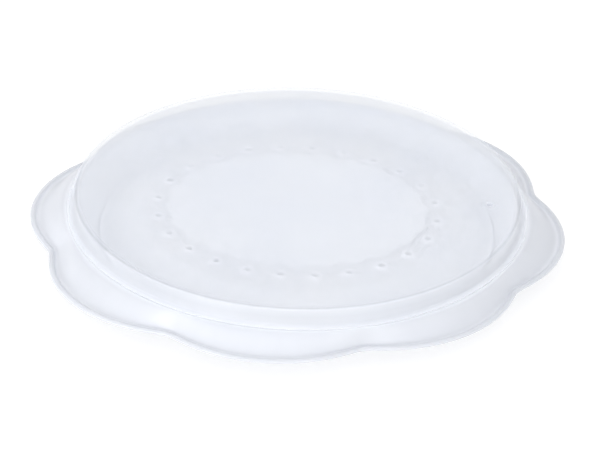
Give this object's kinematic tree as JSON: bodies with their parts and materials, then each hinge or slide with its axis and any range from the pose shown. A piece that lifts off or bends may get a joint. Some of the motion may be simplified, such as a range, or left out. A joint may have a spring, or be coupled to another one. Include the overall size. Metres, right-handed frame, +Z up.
{
  "type": "steam steriliser",
  "caption": "Low round steam steriliser: petal-edged water tray, domed vented steam plate and flat frosted lid that lift off.",
  "frame": {"origin": "centre of the tray's flat underside", "axes": "+Z up, out of the lid; +X through the middle of one petal of the flange"},
  "size_m": [0.2744, 0.2648, 0.03],
  "materials": {
    "tray_plastic": "translucent frosted polypropylene, satin",
    "plate_plastic": "translucent white polypropylene, satin",
    "lid_plastic": "translucent frosted polypropylene, satin with a soft gloss"
  },
  "bodies": {
    "tray": {"base_tray": "tray_plastic"},
    "plate": {"steam_plate": "plate_plastic"},
    "lid": {"lid": "lid_plastic"}
  },
  "joints": [
    {"name": "plate_lift", "type": "slide", "parent": "tray", "child": "plate", "axis": [0, 0, 1], "range_m": [0, 0.05]},
    {"name": "lid_lift", "type": "slide", "parent": "plate", "child": "lid", "axis": [0, 0, 1], "range_m": [0, 0.06]}
  ]
}
